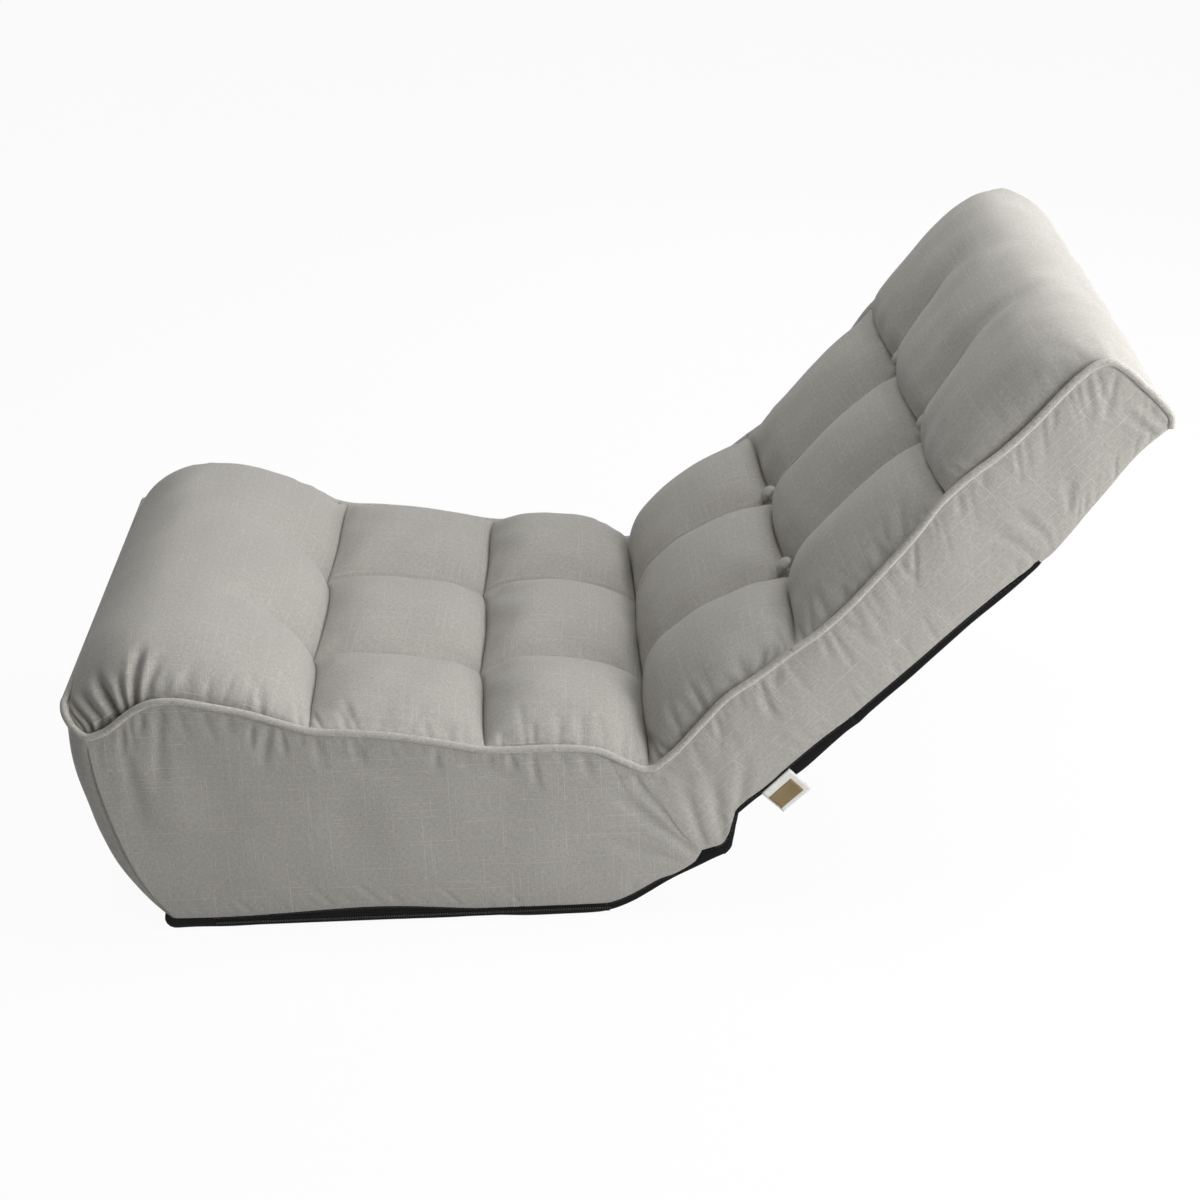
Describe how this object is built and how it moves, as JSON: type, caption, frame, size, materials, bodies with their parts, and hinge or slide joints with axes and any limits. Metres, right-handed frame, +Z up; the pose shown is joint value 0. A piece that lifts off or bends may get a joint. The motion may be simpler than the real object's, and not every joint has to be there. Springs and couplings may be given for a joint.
{
  "type": "floor chair",
  "caption": "Legless reclining floor chair: tufted seat with a front roll, reclining tufted back and tilting head roll on ratchet hinges.",
  "frame": {"origin": "middle of the flat base, on the floor", "axes": "+X to the sitter's left, +Y to the back, +Z up"},
  "size_m": [0.543, 1.045, 0.5709],
  "materials": {
    "linen_cover": "woven, matt",
    "linen_piping": "woven bias tape over cord",
    "linen_button": "woven, matt",
    "black_lining": "non-woven, matt",
    "foam": "open-cell foam",
    "tag": "woven tape",
    "zip": "moulded coil on tape",
    "painted_tube": "baked enamel",
    "zinc_plated_steel": "zinc plated",
    "spring_steel": "blued"
  },
  "bodies": {
    "seat": {"seat_frame": "painted_tube", "seat_middle_cross_tube": "painted_tube", "seat_rear_cross_tube": "painted_tube", "seat_foam_core": "foam", "front_roll_cushion": "linen_cover", "seat_front_row_cushion": "linen_cover", "seat_rear_row_cushion": "linen_cover", "seat_front_panel": "linen_cover", "seat_side_panel_left": "linen_cover", "seat_side_panel_right": "linen_cover", "seat_base_cloth": "black_lining", "seat_piping_left": "linen_piping", "seat_piping_right": "linen_piping", "seat_piping_front": "linen_piping", "base_zip": "zip", "crease_pad": "linen_cover", "crease_piping": "linen_piping", "hinge_gusset": "black_lining", "back_hinge_cheeks_left": "zinc_plated_steel", "back_hinge_cheeks_right": "zinc_plated_steel", "back_hinge_rivets": "zinc_plated_steel", "back_pawl_pins": "zinc_plated_steel", "back_pawl_springs": "spring_steel"},
    "back": {"back_side_tube_left": "painted_tube", "back_side_tube_right": "painted_tube", "back_lower_cross_tube": "painted_tube", "back_upper_cross_tube": "painted_tube", "back_hinge_gear_left": "zinc_plated_steel", "back_hinge_gear_right": "zinc_plated_steel", "back_foam_core": "foam", "lumbar_row_cushion": "linen_cover", "upper_row_cushion": "linen_cover", "back_side_panel_left": "linen_cover", "back_side_panel_right": "linen_cover", "back_rear_cloth": "black_lining", "back_piping_left": "linen_piping", "back_piping_right": "linen_piping", "tuft_buttons": "linen_button", "blank_tag": "tag", "neck_pad": "linen_cover", "neck_piping": "linen_piping", "neck_gusset": "black_lining", "head_hinge_cheeks_left": "zinc_plated_steel", "head_hinge_cheeks_right": "zinc_plated_steel", "head_hinge_rivets": "zinc_plated_steel", "head_pawl_pins": "zinc_plated_steel", "head_pawl_springs": "spring_steel"},
    "head": {"head_frame": "painted_tube", "head_hinge_gear_left": "zinc_plated_steel", "head_hinge_gear_right": "zinc_plated_steel", "head_roll_cushion": "linen_cover", "head_rear_panel": "linen_cover", "head_side_panel_left": "linen_cover", "head_side_panel_right": "linen_cover", "head_piping_left": "linen_piping", "head_piping_right": "linen_piping"},
    "back_pawl_left_body": {"back_pawl_left": "zinc_plated_steel"},
    "back_pawl_right_body": {"back_pawl_right": "zinc_plated_steel"},
    "head_pawl_left_body": {"head_pawl_left": "zinc_plated_steel"},
    "head_pawl_right_body": {"head_pawl_right": "zinc_plated_steel"}
  },
  "joints": [
    {"name": "back_recline", "type": "hinge", "parent": "seat", "child": "back", "pos_m": [0, 0.3115, 0.095], "axis": [1, 0, 0], "range_deg": [-45, 45], "deforming": ["crease_pad", "crease_piping", "hinge_gusset"]},
    {"name": "head_tilt", "type": "hinge", "parent": "back", "child": "head", "pos_m": [0, 0.61389, 0.39845], "axis": [1, 0, 0], "range_deg": [-10, 50], "deforming": ["neck_pad", "neck_piping", "neck_gusset"]},
    {"name": "back_pawl_left_lift", "type": "hinge", "parent": "seat", "child": "back_pawl_left_body", "pos_m": [0.235, 0.27962, 0.09019], "axis": [-1, 0, 0], "range_deg": [0, 10], "stiffness_Nm_per_rad": 0.05, "springref_deg": -11.46, "deforming": ["back_pawl_springs"]},
    {"name": "back_pawl_right_lift", "type": "hinge", "parent": "seat", "child": "back_pawl_right_body", "pos_m": [-0.235, 0.27962, 0.09019], "axis": [-1, 0, 0], "range_deg": [0, 10], "stiffness_Nm_per_rad": 0.05, "springref_deg": -11.46, "deforming": ["back_pawl_springs"]},
    {"name": "head_pawl_left_lift", "type": "hinge", "parent": "back", "child": "head_pawl_left_body", "pos_m": [0.235, 0.58386, 0.38673], "axis": [-1, 0, 0], "range_deg": [0, 10], "stiffness_Nm_per_rad": 0.05, "springref_deg": -11.46, "deforming": ["head_pawl_springs"]},
    {"name": "head_pawl_right_lift", "type": "hinge", "parent": "back", "child": "head_pawl_right_body", "pos_m": [-0.235, 0.58386, 0.38673], "axis": [-1, 0, 0], "range_deg": [0, 10], "stiffness_Nm_per_rad": 0.05, "springref_deg": -11.46, "deforming": ["head_pawl_springs"]}
  ]
}
